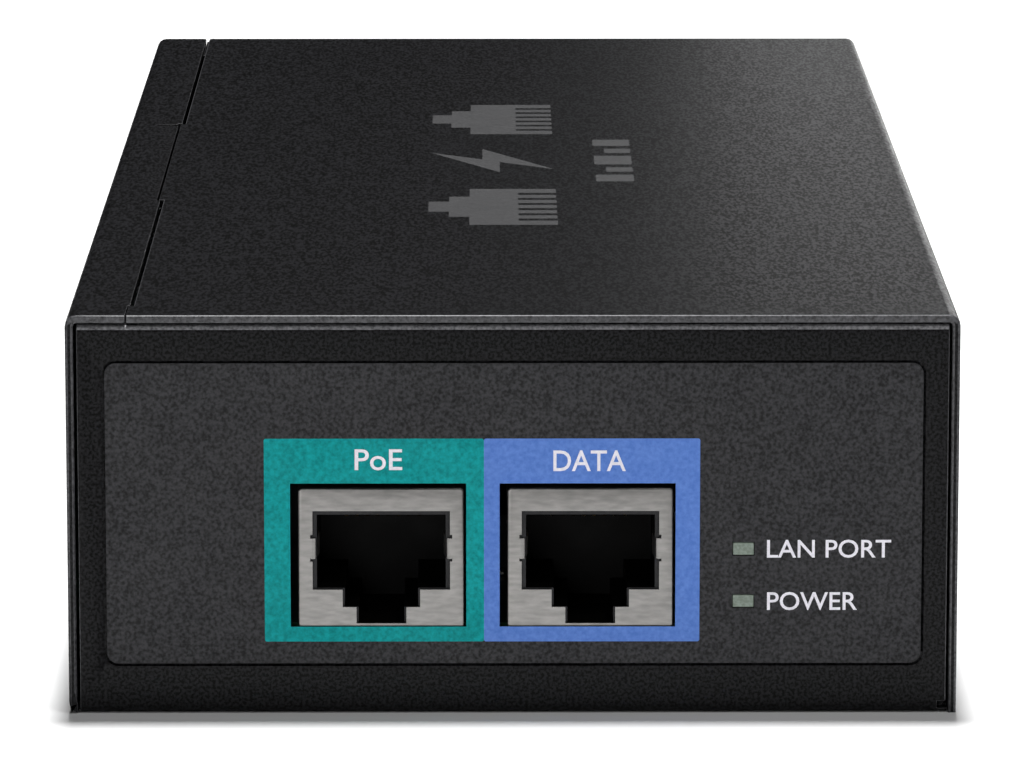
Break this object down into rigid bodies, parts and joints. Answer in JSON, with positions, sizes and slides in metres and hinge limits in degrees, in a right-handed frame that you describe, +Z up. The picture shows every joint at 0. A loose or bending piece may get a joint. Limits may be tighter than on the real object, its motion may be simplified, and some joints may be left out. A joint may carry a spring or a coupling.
{
  "type": "poe injector",
  "caption": "Mains-fed PoE injector in a folded black steel case with two shielded RJ45 ports, indicator lamps and a rear mains inlet.",
  "frame": {"origin": "middle of the footprint, on the underside of the case", "axes": "+Z up, the jacks face -Y, the mains inlet faces +Y, +X to the right seen from the jacks"},
  "size_m": [0.086, 0.19, 0.0392],
  "materials": {
    "powder_coated_steel": "black fine-textured powder coat on folded 0.8 mm steel",
    "front_overlay": "matt grained polyester overlay with green and blue port fields",
    "nickel_plate": "satin nickel plate on formed brass or steel",
    "gold_plate": "thin gold flash over nickel on spring bronze",
    "jack_plastic": "moulded black thermoplastic, slightly glossy",
    "lamp_lens": "diffusing grey-green epoxy lens",
    "zinc_steel": "bright zinc plated steel",
    "black_screw": "black zinc plated steel screw",
    "circuit_board": "glass-epoxy board with green solder resist",
    "insulating_film": "translucent polyester insulating film",
    "heat_sink_aluminium": "extruded aluminium, mill finish",
    "ferrite": "dark grey sintered ferrite",
    "winding_tape": "yellow polyester tape over copper winding",
    "enamelled_copper": "enamelled copper wire",
    "film_capacitor_case": "yellow moulded polyester case",
    "capacitor_sleeve": "shrunk dark blue-black PVC sleeve",
    "epoxy_package": "moulded black epoxy",
    "fuse_glass": "clear glass tube with plated caps"
  },
  "bodies": {
    "chassis": {"chassis_pan": "powder_coated_steel", "top_cover": "powder_coated_steel", "front_label": "front_overlay", "insulating_film": "insulating_film", "main_board": "circuit_board", "lan_lamp": "lamp_lens", "power_lamp": "lamp_lens", "lamp_holder": "jack_plastic", "inlet_housing": "jack_plastic", "inlet_pin_line": "nickel_plate", "inlet_pin_neutral": "nickel_plate", "inlet_pin_earth": "nickel_plate", "fuse": "fuse_glass", "x_capacitor": "film_capacitor_case", "line_choke": "enamelled_copper", "bridge_rectifier": "epoxy_package", "bulk_capacitor": "capacitor_sleeve", "primary_heat_sink": "heat_sink_aluminium", "switching_transistor": "epoxy_package", "transformer_core": "ferrite", "transformer_winding": "winding_tape", "secondary_heat_sink": "heat_sink_aluminium", "output_rectifier": "epoxy_package", "output_capacitor_1": "capacitor_sleeve", "output_capacitor_2": "capacitor_sleeve", "lan_magnetics": "epoxy_package", "pse_controller": "epoxy_package", "standoff_1": "zinc_steel", "board_screw_1": "zinc_steel", "standoff_2": "zinc_steel", "board_screw_2": "zinc_steel", "standoff_3": "zinc_steel", "board_screw_3": "zinc_steel", "standoff_4": "zinc_steel", "board_screw_4": "zinc_steel", "cover_screw_1": "black_screw", "cover_screw_2": "black_screw", "cover_screw_3": "black_screw", "inlet_screw_1": "black_screw", "inlet_screw_2": "black_screw", "poe_jack_shield": "nickel_plate", "poe_jack_housing": "jack_plastic", "data_jack_shield": "nickel_plate", "data_jack_housing": "jack_plastic"},
    "poe_contacts": {"poe_contact_1": "gold_plate", "poe_contact_2": "gold_plate", "poe_contact_3": "gold_plate", "poe_contact_4": "gold_plate", "poe_contact_5": "gold_plate", "poe_contact_6": "gold_plate", "poe_contact_7": "gold_plate", "poe_contact_8": "gold_plate"},
    "data_contacts": {"data_contact_1": "gold_plate", "data_contact_2": "gold_plate", "data_contact_3": "gold_plate", "data_contact_4": "gold_plate", "data_contact_5": "gold_plate", "data_contact_6": "gold_plate", "data_contact_7": "gold_plate", "data_contact_8": "gold_plate"}
  },
  "joints": [
    {"name": "poe_contacts_flex", "type": "hinge", "parent": "chassis", "child": "poe_contacts", "pos_m": [-0.0127, -0.0921, 0.0211], "axis": [1, 0, 0], "range_deg": [0, 10], "stiffness_Nm_per_rad": 0.3},
    {"name": "data_contacts_flex", "type": "hinge", "parent": "chassis", "child": "data_contacts", "pos_m": [0.0075, -0.0921, 0.0211], "axis": [1, 0, 0], "range_deg": [0, 10], "stiffness_Nm_per_rad": 0.3}
  ]
}
